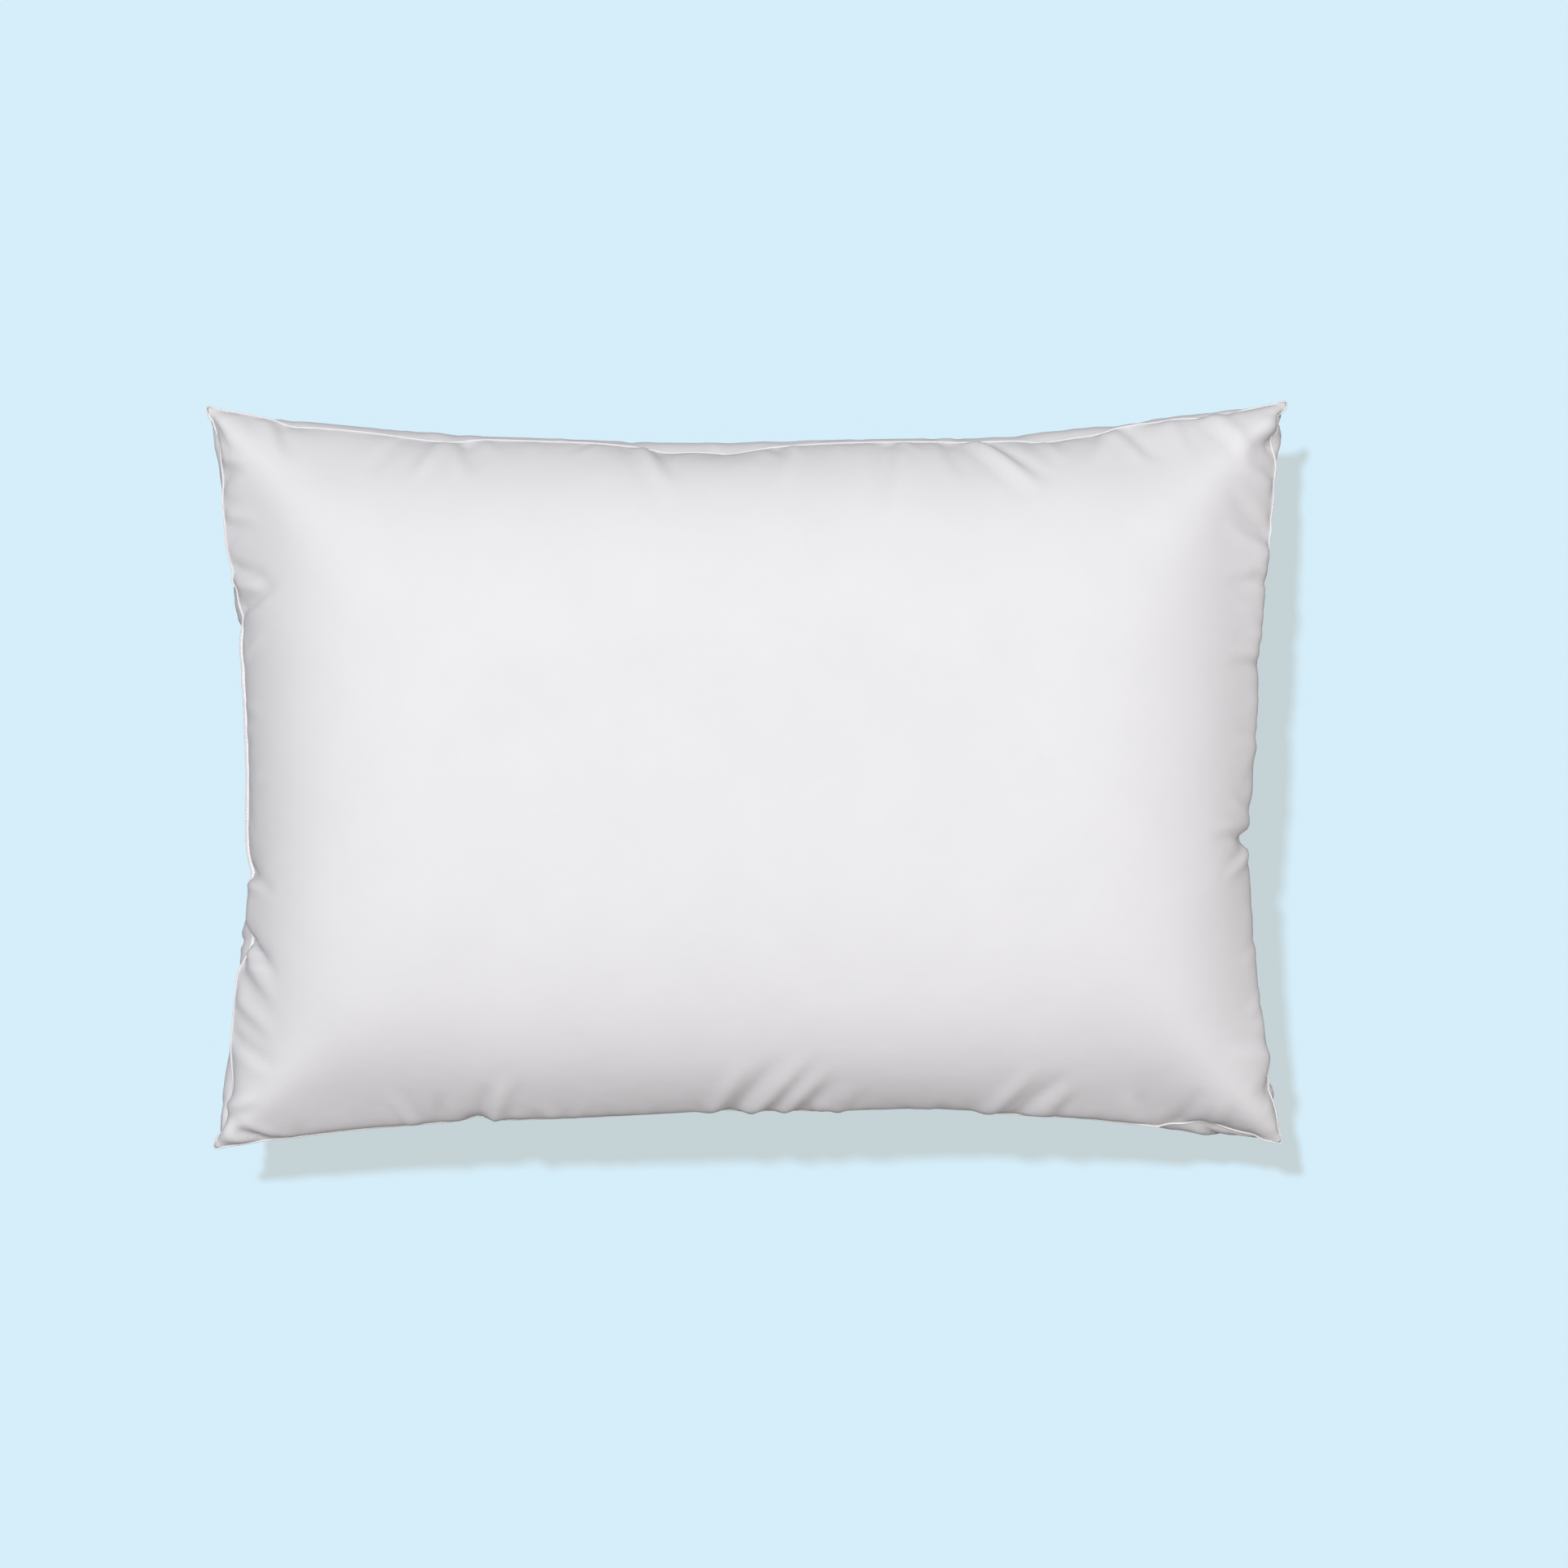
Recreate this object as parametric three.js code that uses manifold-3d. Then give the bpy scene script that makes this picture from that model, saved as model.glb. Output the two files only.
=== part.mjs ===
// A filled bed pillow lying flat: two cloth panels sewn round a piped edge, with the filling inside.
// Millimetres, +Z up. The origin is on the resting face, under the middle of the pillow.
// X runs along its length.
import * as THREE from 'three';
import Module from 'manifold-3d';
import { ParametricGeometry } from 'three/addons/geometries/ParametricGeometry.js';
import { mergeGeometries, mergeVertices } from 'three/addons/utils/BufferGeometryUtils.js';

// The casing is cut 711 x 508 (28 x 20 inches) flat. Filling it draws the corners in to these sizes.
const TIP_LENGTH = 694; // seam corner to seam corner along X
const TIP_WIDTH = 480; // seam corner to seam corner along Y
const LONG_SAG = 27; // how far each long seam is drawn in at its middle
const SHORT_SAG = 25; // how far each short seam is drawn in at its middle
const LOFT = 168; // full height of the pillow as it lies
const SEAM_HEIGHT = 76; // height of the seam above the surface it lies on
const BOTTOM_DROP = 86; // how far the underside would hang below the seam if nothing held it up
const FULLNESS = 2.4; // power of the crown curve: 2 is an ellipse, more is squarer

const PLY = 0.8; // thickness of a casing panel with its turned allowance
const GAP = 0.3; // clear gap between pieces that touch
const ALLOWANCE = 9; // width of the seam allowance inside the casing

const CORD_RADIUS = 0.8;
const TAPE_PLY = 0.4; // one layer of the bias tape that wraps the piping cord
const CORD_OUT = 0.9; // how far the cord's centre stands outside the seam line
const THREAD_RADIUS = 0.25;
const SEAM_ROW_OUT = -6; // the main row runs inside, through the seam allowance
const CLOSING_ROW_OUT = -0.6; // the closing row is sewn from the outside, hard by the piping
const CLOSING_ROW_RISE = 2.6;
const OPENING = 220; // length of the seam left open to take the filling, then sewn shut

const LABEL_WIDTH = 36;
const LABEL_DROP = 48;
const LABEL_PLY = 0.4;
const LABEL_OUT = 0.25; // clear gap between the label and the panel it lies on
const LABEL_Y = 128; // middle of the label along the right-hand short side

const LONG_CELLS = 16; // facets along and across a panel, closer together towards the seam; both even
const SHORT_CELLS = 12;
const CLOSING_UP = 0.6; // how far the facets close up there: 0 is evenly spaced
const ARC_STEPS = 6; // straight steps in the tape's turn round its cord

const TAPE_INNER = CORD_RADIUS + GAP;
const TAPE_OUTER = TAPE_INNER + TAPE_PLY;
const TAPE_HALF = GAP / 2 + TAPE_PLY; // the two tape lips, lying one on the other
const LIP_BOTTOM = TAPE_HALF + GAP;
const LIP_TOP = LIP_BOTTOM + PLY;
const SEAM_ROW_RISE = LIP_TOP + GAP + THREAD_RADIUS;
const GROOVE_HALF = SEAM_ROW_RISE + THREAD_RADIUS + GAP;
const REACH = 1000; // larger than the pillow, for the blocks that cut it

const wasm = await Module();
wasm.setup();

// A closed three.js geometry as a manifold solid.
function solidOf(geometry) {
  const bare = new THREE.BufferGeometry();
  bare.setAttribute('position', geometry.getAttribute('position'));
  bare.setIndex(geometry.index);
  const merged = mergeVertices(bare, 1e-3);
  return new wasm.Manifold(new wasm.Mesh({
    numProp: 3,
    vertProperties: merged.getAttribute('position').array,
    triVerts: new Uint32Array(merged.index.array),
  }));
}

// A manifold solid as a named mesh.
function meshOf(name, solid, material) {
  const made = solid.getMesh();
  const geometry = new THREE.BufferGeometry();
  geometry.setAttribute('position', new THREE.BufferAttribute(made.vertProperties, 3));
  geometry.setIndex(new THREE.BufferAttribute(made.triVerts, 1));
  geometry.computeVertexNormals();
  const mesh = new THREE.Mesh(geometry, material);
  mesh.name = name;
  return mesh;
}

// A block between two opposite corners.
function block(low, high) {
  const size = high.map((value, axis) => value - low[axis]);
  const centre = high.map((value, axis) => (value + low[axis]) / 2);
  return solidOf(new THREE.BoxGeometry(...size).translate(...centre));
}

// 0 to 1 as -1 to 1, with the steps closing up at both ends.
function eased(share) {
  return THREE.MathUtils.lerp(2 * share - 1, Math.sin((share - 0.5) * Math.PI), CLOSING_UP);
}

// Where a point of the flat panel lies in plan once the seams are drawn in; u and v run from -1 to 1.
function planPoint(u, v, inset) {
  const halfLength = TIP_LENGTH / 2 - inset - SHORT_SAG * (1 - v * v);
  const halfWidth = TIP_WIDTH / 2 - inset - LONG_SAG * (1 - u * u);
  return [u * halfLength, v * halfWidth];
}

// The height of the crown at (u, v), from 0 on the seam to 1 in the middle.
function crown(u, v) {
  return Math.sqrt((1 - Math.abs(u) ** FULLNESS) * (1 - Math.abs(v) ** FULLNESS));
}

// One quarter of a panel, from the middle lines out to the corner at (signU, signV), at the height that
// heightAt gives. Its facets are split so that an edge runs out to the corner, so all four corners match.
function quarter(signU, signV, faceUp, inset, heightAt) {
  const alongU = (signU * signV > 0) !== faceUp;
  const surface = (a, b, point) => {
    const [nearU, nearV] = alongU ? [a, 1 - b] : [1 - b, a];
    const u = signU * eased((1 + nearU) / 2);
    const v = signV * eased((1 + nearV) / 2);
    point.set(...planPoint(u, v, inset), heightAt(u, v));
  };
  const cells = [LONG_CELLS / 2, SHORT_CELLS / 2];
  return new ParametricGeometry(surface, ...(alongU ? cells : cells.reverse()));
}

// The whole pillow as one closed form, drawn in by inset on every side.
function pillowForm(inset) {
  const rise = LOFT - SEAM_HEIGHT - inset;
  const drop = BOTTOM_DROP - inset;
  const topHeight = (u, v) => SEAM_HEIGHT + rise * crown(u, v);
  const undersideHeight = (u, v) => Math.max(inset, SEAM_HEIGHT - drop * crown(u, v));
  const corners = [[1, 1], [-1, 1], [-1, -1], [1, -1]];
  return solidOf(mergeGeometries(corners.flatMap(([signU, signV]) => [
    quarter(signU, signV, true, inset, topHeight),
    quarter(signU, signV, false, inset, undersideHeight),
  ])));
}

// Points round the seam line, each with the direction that a point offset outwards moves in.
function seamStations() {
  const points = [];
  for (let k = 0; k < LONG_CELLS; k++) points.push(planPoint(eased(k / LONG_CELLS), -1, 0));
  for (let k = 0; k < SHORT_CELLS; k++) points.push(planPoint(1, eased(k / SHORT_CELLS), 0));
  for (let k = LONG_CELLS; k > 0; k--) points.push(planPoint(eased(k / LONG_CELLS), 1, 0));
  for (let k = SHORT_CELLS; k > 0; k--) points.push(planPoint(-1, eased(k / SHORT_CELLS), 0));
  return points.map(([x, y], k) => {
    const here = new THREE.Vector2(x, y);
    const last = new THREE.Vector2(...points[(k + points.length - 1) % points.length]);
    const next = new THREE.Vector2(...points[(k + 1) % points.length]);
    const before = here.clone().sub(last).normalize();
    const after = next.sub(here).normalize();
    const outward = new THREE.Vector2(before.y + after.y, -before.x - after.x).normalize();
    const mitre = outward.dot(new THREE.Vector2(before.y, -before.x));
    return { here, outward: outward.divideScalar(mitre) };
  });
}

const STATIONS = seamStations();

// A closed band round the seam. Each point of its section is [distance outside the seam, height above it].
function ring(section) {
  const band = (a, b, point) => {
    const station = STATIONS[Math.round(a * STATIONS.length) % STATIONS.length];
    const [out, rise] = section[Math.round(b * section.length) % section.length];
    const { x, y } = station.here.clone().addScaledVector(station.outward, out);
    point.set(x, y, SEAM_HEIGHT + rise);
  };
  return solidOf(new ParametricGeometry(band, STATIONS.length, section.length));
}

function roundSection(radius, out, rise, sides) {
  return Array.from({ length: sides }, (_, k) => {
    const angle = (k / sides) * 2 * Math.PI;
    return [out + radius * Math.cos(angle), rise + radius * Math.sin(angle)];
  });
}

function flatSection(inner, outer, low, high) {
  return [[inner, low], [outer, low], [outer, high], [inner, high]];
}

// The tape folds round the cord, and its two lips lie together in the seam allowance.
function tapeSection() {
  const arc = (radius, halfHeight) => {
    const start = Math.PI - Math.asin(halfHeight / radius);
    return Array.from({ length: ARC_STEPS + 1 }, (_, k) => {
      const angle = start * (2 * k / ARC_STEPS - 1);
      return [CORD_OUT + radius * Math.cos(angle), radius * Math.sin(angle)];
    });
  };
  return [
    [-ALLOWANCE, -TAPE_HALF],
    ...arc(TAPE_OUTER, TAPE_HALF),
    [-ALLOWANCE, TAPE_HALF],
    [-ALLOWANCE, GAP / 2],
    ...arc(TAPE_INNER, GAP / 2).reverse(),
    [-ALLOWANCE, -GAP / 2],
  ];
}

// A panel is the skin above or below the seam, with its allowance turned in along the seam.
function panel(side) {
  const outer = pillowForm(0);
  const skin = outer.subtract(pillowForm(PLY));
  const lipMiddle = side * (LIP_BOTTOM + LIP_TOP) / 2;
  const lip = ring(flatSection(-ALLOWANCE, -PLY / 2, lipMiddle - PLY / 2, lipMiddle + PLY / 2));
  const edge = SEAM_HEIGHT + side * LIP_BOTTOM;
  const half = side > 0
    ? block([-REACH, -REACH, edge], [REACH, REACH, REACH])
    : block([-REACH, -REACH, -REACH], [REACH, REACH, edge]);
  return skin.intersect(half).add(lip.intersect(outer));
}

// The filling takes up all the room inside, except a groove for the sewn seam allowance.
function filling() {
  const room = pillowForm(PLY + GAP);
  const groove = ring(flatSection(-ALLOWANCE - GAP, ALLOWANCE, -GROOVE_HALF, GROOVE_HALF));
  return room.subtract(groove);
}

// The length of the left-hand seam that is left open to take the filling, shortened by trim at both ends.
function openingBlock(trim) {
  const reach = OPENING / 2 - trim;
  return block([-REACH, -reach, 0], [0, reach, LOFT]);
}

// One thread of the main stitch row. It goes round the pillow from one end of the opening to the other.
function seamThread(side) {
  const row = ring(roundSection(THREAD_RADIUS, SEAM_ROW_OUT, side * SEAM_ROW_RISE, 6));
  return row.subtract(openingBlock(0));
}

// One thread of the row that sews the opening shut.
function closingThread(side) {
  const row = ring(roundSection(THREAD_RADIUS, CLOSING_ROW_OUT, side * CLOSING_ROW_RISE, 6));
  return row.intersect(openingBlock(GAP));
}

// A folded cloth label that hangs from the seam and lies against the underside of the casing.
function label() {
  const sleeve = pillowForm(-LABEL_OUT - LABEL_PLY).subtract(pillowForm(-LABEL_OUT));
  const top = SEAM_HEIGHT - TAPE_OUTER - GAP;
  const window = block(
    [0, LABEL_Y - LABEL_WIDTH / 2, top - LABEL_DROP],
    [REACH, LABEL_Y + LABEL_WIDTH / 2, top],
  );
  return sleeve.intersect(window);
}

function cloth(color, roughness) {
  return new THREE.MeshStandardMaterial({ color, roughness, metalness: 0 });
}

const casingCloth = cloth(0xf2f1f3, 0.85);
const tapeCloth = cloth(0xfbfafb, 0.8);
const cordCotton = cloth(0xeeeae2, 0.95);
const downFill = cloth(0xf6f3ec, 1);
const whiteThread = cloth(0xfdfdfd, 0.6);
const labelCloth = cloth(0xf7f7f7, 0.5);

const pillow = new THREE.Group();
pillow.add(
  meshOf('top_panel', panel(1), casingCloth),
  meshOf('bottom_panel', panel(-1), casingCloth),
  meshOf('down_fill', filling(), downFill),
  meshOf('piping_tape', ring(tapeSection()), tapeCloth),
  meshOf('piping_cord', ring(roundSection(CORD_RADIUS, CORD_OUT, 0, 8)), cordCotton),
  meshOf('seam_needle_thread', seamThread(1), whiteThread),
  meshOf('seam_bobbin_thread', seamThread(-1), whiteThread),
  meshOf('closing_needle_thread', closingThread(1), whiteThread),
  meshOf('closing_bobbin_thread', closingThread(-1), whiteThread),
  meshOf('care_label', label(), labelCloth),
);

export default pillow;
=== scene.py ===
"""A bed pillow lying flat, seen from straight above.

Two cotton panels are sewn round a down filling. A corded tape runs between them along the seam, and is
pressed flat on the left side, where the opening that took the filling is sewn shut.
The panels start as a small cloth simulation: two flat rectangles, joined along a seam line of known shape,
and blown up by the filling. Vertex moves then give them their crown, their overhangs and their folds.
Everything else is built on the seam and on the two panels.
Lengths are in metres, in the CAD frame: X along the pillow, Y across it, Z up from the floor.
"""
import math

import bpy
import numpy as np
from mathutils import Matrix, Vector


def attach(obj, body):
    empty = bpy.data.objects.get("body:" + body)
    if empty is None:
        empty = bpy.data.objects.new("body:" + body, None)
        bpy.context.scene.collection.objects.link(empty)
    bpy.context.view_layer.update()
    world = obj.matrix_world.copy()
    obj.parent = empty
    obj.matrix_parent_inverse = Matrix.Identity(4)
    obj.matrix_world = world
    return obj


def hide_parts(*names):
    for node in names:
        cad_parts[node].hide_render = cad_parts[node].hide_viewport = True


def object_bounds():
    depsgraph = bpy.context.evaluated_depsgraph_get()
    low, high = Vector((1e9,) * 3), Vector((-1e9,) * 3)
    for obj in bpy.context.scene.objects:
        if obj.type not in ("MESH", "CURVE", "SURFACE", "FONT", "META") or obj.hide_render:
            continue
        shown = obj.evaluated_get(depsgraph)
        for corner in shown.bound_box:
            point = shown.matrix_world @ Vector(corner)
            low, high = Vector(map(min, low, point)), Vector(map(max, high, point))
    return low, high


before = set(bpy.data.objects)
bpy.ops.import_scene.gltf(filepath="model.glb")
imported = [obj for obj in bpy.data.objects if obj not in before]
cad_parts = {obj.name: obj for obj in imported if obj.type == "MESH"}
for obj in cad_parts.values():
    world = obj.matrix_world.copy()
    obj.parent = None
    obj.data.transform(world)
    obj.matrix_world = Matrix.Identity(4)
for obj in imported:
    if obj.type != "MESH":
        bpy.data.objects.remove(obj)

CAD_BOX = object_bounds()

# The casing between its stitch lines, flat, and as it was cut
CLOTH_LENGTH = 0.704
CLOTH_WIDTH = 0.494
PLY = 0.0004

# The filled pillow, and the part of its loft that is below the seam
LOFT = round(CAD_BOX[1][2], 4)
BELLY = 0.078
TIPS = {
    "front_left": (-0.3508, -0.2415),
    "front_right": (0.3467, -0.2418),
    "back_right": (0.3527, 0.2425),
    "back_left": (-0.3530, 0.2430),
}
# side: first tip, second tip, seam height
SIDES = {
    "front": ("front_left", "front_right", 0.080),
    "right": ("front_right", "back_right", 0.084),
    "back": ("back_right", "back_left", 0.086),
    "left": ("back_left", "front_left", 0.084),
}
# How far the outline is drawn in from the line between two tips: share of the side's length, distance
OUTLINE = {
    "front": [
        (0, 0), (0.02, 0.001), (0.1, 0.009), (0.14, 0.0125), (0.22, 0.017), (0.34, 0.02),
        (0.46, 0.0242), (0.55, 0.0238), (0.67, 0.0256), (0.73, 0.0214), (0.82, 0.0168), (0.88, 0.0116),
        (0.94, 0.005), (1, 0),
    ],
    "right": [
        (0, 0), (0.05, 0.0018), (0.1, 0.0085), (0.16, 0.014), (0.22, 0.0195), (0.3, 0.0245),
        (0.38, 0.0272), (0.44, 0.0272), (0.52, 0.0235), (0.6, 0.0208), (0.67, 0.019), (0.76, 0.0148),
        (0.82, 0.0108), (0.88, 0.0056), (0.94, 0.0036), (1, 0),
    ],
    "back": [
        (0, 0), (0.04, 0.004), (0.07, 0.0085), (0.1, 0.0095), (0.16, 0.018), (0.22, 0.0245),
        (0.28, 0.027), (0.37, 0.027), (0.43, 0.028), (0.52, 0.0325), (0.58, 0.0312), (0.64, 0.0268),
        (0.73, 0.0242), (0.79, 0.0222), (0.85, 0.016), (0.92, 0.0106), (0.97, 0.004), (1, 0),
    ],
    "left": [
        (0, 0), (0.02, 0.001), (0.06, 0.0041), (0.1, 0.0085), (0.16, 0.0122), (0.24, 0.016),
        (0.32, 0.0237), (0.4, 0.0267), (0.49, 0.0282), (0.58, 0.0273), (0.68, 0.0275), (0.72, 0.0222),
        (0.76, 0.0186), (0.82, 0.0138), (0.88, 0.0095), (0.94, 0.0068), (0.97, 0.004), (1, 0),
    ],
}
# Each side is drawn with this many points, and its bends are rounded off over OUTLINE_BLEND of them
SIDE_STEPS = 1200
OUTLINE_BLEND = 12
# The seam's height at the tips, and how quickly it climbs to the height in the middle of a side
TIP_HEIGHT = 0.055
RISE_POWER = 0.7
# How far the lower panel stands out past the seam: share of the side's length, distance
LEAN = {
    "front": [
        (0, 0), (0.03, 0.0035), (0.06, 0.001), (0.1, 0), (0.86, 0.0005), (0.9, 0.0065), (0.93, 0.009),
        (0.97, 0.0065), (1, 0),
    ],
    "right": [
        (0, 0), (0.02, 0.005), (0.07, 0.006), (0.1, 0.0005), (0.8, 0.0005), (0.84, 0.0055),
        (0.91, 0.006), (0.95, 0.0095), (0.98, 0.0075), (1, 0),
    ],
    "back": [
        (0, 0), (0.06, 0.0055), (0.12, 0.005), (0.15, 0.0035), (0.18, 0.0056), (0.22, 0.0056),
        (0.26, 0.003), (0.46, 0.0035), (0.5, 0.0048), (0.57, 0.0048), (0.62, 0.0035), (0.74, 0.004),
        (0.79, 0.0056), (0.91, 0.0056), (0.95, 0.0035), (1, 0),
    ],
    "left": [
        (0, 0), (0.02, 0.006), (0.05, 0.008), (0.09, 0.0065), (0.14, 0.0045), (0.21, 0.004),
        (0.23, 0.002), (0.25, 0.0065), (0.285, 0.006), (0.305, 0.0015), (0.35, 0.0045), (0.4, 0.003),
        (0.44, 0), (0.66, 0), (0.715, 0.0072), (0.73, 0.0072), (0.765, 0.0045), (0.85, 0.0055),
        (0.92, 0.0085), (0.97, 0.007), (1, 0),
    ],
}
# Cloth from the seam to where it stands out furthest, a factor on the distances, and what the seam hides
LEAN_REACH = 0.024
LEAN_STRENGTH = 1.4
LEAN_HIDDEN = 0.0045
# How far the top panel bulges over the seam, where the photograph shows no piping
OVERHANG = {
    "front": [(0, 0), (0.12, 0.002), (0.84, 0.002), (0.9, 0), (1, 0)],
    "right": [(0, 0), (0.09, 0), (0.12, 0.0032), (0.79, 0.0032), (0.83, 0), (1, 0)],
    "back": [(0, 0), (0.08, 0.0024), (0.11, 0.0024), (0.14, 0), (1, 0)],
    "left": [(0, 0), (0.63, 0), (0.67, 0.003), (0.7, 0.003), (0.73, 0), (1, 0)],
}
OVERHANG_REACH = 0.008
OVERHANG_HIDDEN = 0.0018
# Where neither panel shows past the seam, the tape does. All three fade out over the last share of a side
TAPE_SHOWN = 0.0012
TAPE_FADE = 0.02
# The corners keep more of the simulation's own shape: how far from a tip, and the share of the crown there
TIP_REACH = 0.10
TIP_SHARE = 0.35
# The cells at each tip that are laid smoothly at the end
TIP_CELLS = 4
# The top panel's slope at the seam in degrees, and how it eases off along the cloth
SEAM_SLOPE = 67
SLOPE_REACH = 0.088
SLOPE_POWER = 1.2
PROFILE_STEPS = 500
# The crown's profile is followed this far in, and fades out over as much again
CROWN_REACH = 0.12
# Puckers, where the seam is gathered: place along the side, depth, half width, share of the spare cloth
PUCKERS = {
    "front": [
        (0.035, 0.0008, 0.012, 1.0), (0.174, 0.0034, 0.01, 1.2), (0.33, 0.001, 0.012, 1.5),
        (0.372, 0.001, 0.01, 1.0), (0.495, 0.0008, 0.012, 1.2), (0.56, 0.0005, 0.01, 0.7),
        (0.642, 0.0014, 0.012, 1.0),
    ],
    "right": [
        (0.042, 0.003, 0.01, 1.2), (0.2, 0.005, 0.011, 1.6), (0.315, 0.0016, 0.01, 1.0),
        (0.394, 0.001, 0.009, 0.8), (0.428, 0.0012, 0.008, 0.8),
    ],
    "back": [
        (0.025, 0.001, 0.01, 0.8), (0.05, 0.0012, 0.01, 0.8), (0.168, 0.0014, 0.012, 1.4),
        (0.215, 0.0005, 0.01, 0.8), (0.364, 0.0016, 0.012, 1.0), (0.402, 0.0014, 0.012, 1.0),
        (0.54, 0.0014, 0.012, 1.3), (0.65, 0.0016, 0.012, 0.8),
    ],
    "left": [
        (0.109, 0.0032, 0.009, 1.4), (0.144, 0.0036, 0.009, 1.6), (0.304, 0.0034, 0.009, 1.4),
        (0.349, 0.003, 0.01, 1.8),
    ],
}
# How blunt a pucker is, how much wider its gathered cloth is, and how much of the spare cloth is in puckers
PUCKER_POWER = 1.5
GATHER_WIDTH = 1.3
GATHERED = 0.75
# Soft folds running in from each side: place along it, tilt in degrees, length, width, height
FOLDS = {
    "front": [
        (0.04, -55, 0.024, 0.005, -0.0013), (0.026, -50, 0.02, 0.005, 0.001),
        (0.134, -15, 0.028, 0.005, 0.0005), (0.15, 12, 0.026, 0.004, -0.0007),
        (0.178, 12, 0.032, 0.004, -0.001), (0.188, 14, 0.036, 0.005, 0.0009),
        (0.325, 24, 0.046, 0.006, 0.001), (0.34, 26, 0.05, 0.005, -0.0009),
        (0.352, 30, 0.056, 0.005, 0.0009), (0.371, 30, 0.044, 0.005, 0.0008),
        (0.386, 26, 0.034, 0.005, -0.0006), (0.41, 10, 0.026, 0.005, 0.0006),
        (0.504, 28, 0.044, 0.006, 0.001), (0.523, 30, 0.04, 0.005, -0.0009),
        (0.54, 24, 0.03, 0.005, 0.0006), (0.604, -20, 0.026, 0.005, 0.0007),
        (0.633, 10, 0.03, 0.005, -0.0007), (0.655, 4, 0.026, 0.005, 0.0006),
    ],
    "right": [
        (0.042, -6, 0.018, 0.005, -0.0008), (0.06, 14, 0.03, 0.005, 0.0009),
        (0.196, -22, 0.03, 0.004, 0.0009), (0.203, 4, 0.036, 0.004, -0.0014),
        (0.212, 26, 0.028, 0.004, 0.0008), (0.262, 8, 0.022, 0.004, 0.0005),
        (0.315, 0, 0.026, 0.004, -0.001), (0.345, 12, 0.022, 0.004, 0.0005),
        (0.371, -8, 0.03, 0.004, -0.0008), (0.386, 20, 0.034, 0.005, 0.0008),
        (0.4, 28, 0.036, 0.005, -0.0007), (0.432, 16, 0.03, 0.005, 0.0008),
        (0.46, -6, 0.02, 0.006, -0.0016), (0.472, 10, 0.016, 0.005, 0.0008),
    ],
    "back": [
        (0.054, -30, 0.04, 0.006, 0.0012), (0.072, -10, 0.03, 0.005, -0.0008),
        (0.109, -24, 0.032, 0.005, -0.0011), (0.12, 16, 0.026, 0.005, 0.0008),
        (0.164, -20, 0.026, 0.005, 0.0007), (0.2, -36, 0.046, 0.005, -0.0012),
        (0.208, -32, 0.05, 0.006, 0.0012), (0.226, -12, 0.036, 0.005, -0.0007),
        (0.25, 8, 0.056, 0.006, 0.0007), (0.264, 4, 0.05, 0.006, -0.0006),
        (0.32, 10, 0.04, 0.006, 0.0006), (0.41, -14, 0.034, 0.005, -0.001),
        (0.42, -22, 0.05, 0.006, 0.0007), (0.533, -16, 0.03, 0.005, -0.0011),
        (0.546, 14, 0.036, 0.005, 0.0009), (0.572, 20, 0.034, 0.006, -0.0006),
        (0.653, -20, 0.026, 0.005, -0.001),
    ],
    "left": [
        (0.008, 62, 0.024, 0.003, -0.0012), (0.036, 20, 0.024, 0.004, 0.0007),
        (0.053, -14, 0.026, 0.004, -0.0007), (0.074, 16, 0.024, 0.004, 0.0007),
        (0.109, 20, 0.032, 0.004, -0.0012), (0.124, 4, 0.024, 0.005, 0.0009),
        (0.14, -16, 0.036, 0.004, -0.0014), (0.172, -24, 0.028, 0.004, 0.0006),
        (0.2, 12, 0.022, 0.004, 0.0004), (0.25, -10, 0.024, 0.004, 0.0005),
        (0.306, 14, 0.03, 0.004, -0.0012), (0.316, -8, 0.026, 0.004, 0.0009),
        (0.349, 24, 0.034, 0.004, -0.0018), (0.36, 30, 0.036, 0.005, 0.001),
        (0.368, -18, 0.03, 0.004, -0.0008), (0.39, 22, 0.034, 0.005, 0.0008),
        (0.416, 14, 0.036, 0.005, -0.0008), (0.463, -20, 0.026, 0.005, 0.0012),
    ],
}
# Factors on their heights and lengths, and how far in from the seam they reach full height
FOLD_DEPTH = 1.9
FOLD_REACH = 1.5
FOLD_START = 0.006
# The trough beside each fold: its share of the fold's height, and its place in fold widths
TROUGH_SHARE = 0.45
TROUGH_PLACE = 1.7
# Small creases scattered along the whole seam of each panel
CREASES = 170
CREASE_MARGIN = 0.015
CREASE_LENGTH = (0.012, 0.034)
CREASE_WIDTH = (0.0030, 0.0050)
CREASE_HEIGHT = (0.0002, 0.0006)
CREASE_TILT = 38

# The cloth simulation: cells of the coarsest grid, steps on it and on each finer one, and sweeps in a step
COARSE_CELLS = (60, 43)
STEPS = (300, 120, 60)
SWEEPS = 5
# Stiffness of the cloth, from 0 to 1, against being squeezed, sheared and bent
SQUEEZE = 0.8
SHEAR = 0.3
BEND = 0.05
# Speed kept from step to step, and the filling's push in one step on the coarsest grid
DAMPING = 0.93
PRESSURE = 0.0002
# The room that the filling takes: a dome over the cloth, and its height at the seam
CROWN_SQUARENESS = 2.3
CROWN_FULLNESS = 0.5
CORNER_BLEND = 3.0
SEAM_ROOM = 0.004
# Random unevenness at the start, and after the cells are split
START_ROUGHNESS = 0.0005
ROUGHENING = 0.0004
SEED = 7

# The filling: cells that it keeps off the seam, its distance from the cloth, and its groove at the seam
FILLING_CLEAR = 4
FILLING_DEPTH = 0.002
FILLING_GROOVE = 0.011

# The seam: the panels' turned-in allowance, one stitch and its points, and how far its line is rounded off
ALLOWANCE = 0.009
STITCH = 0.0022
STITCH_POINTS = 5
SEAM_ROUNDING = 0.0012
UP = np.array([0.0, 0.0, 1.0])
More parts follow.
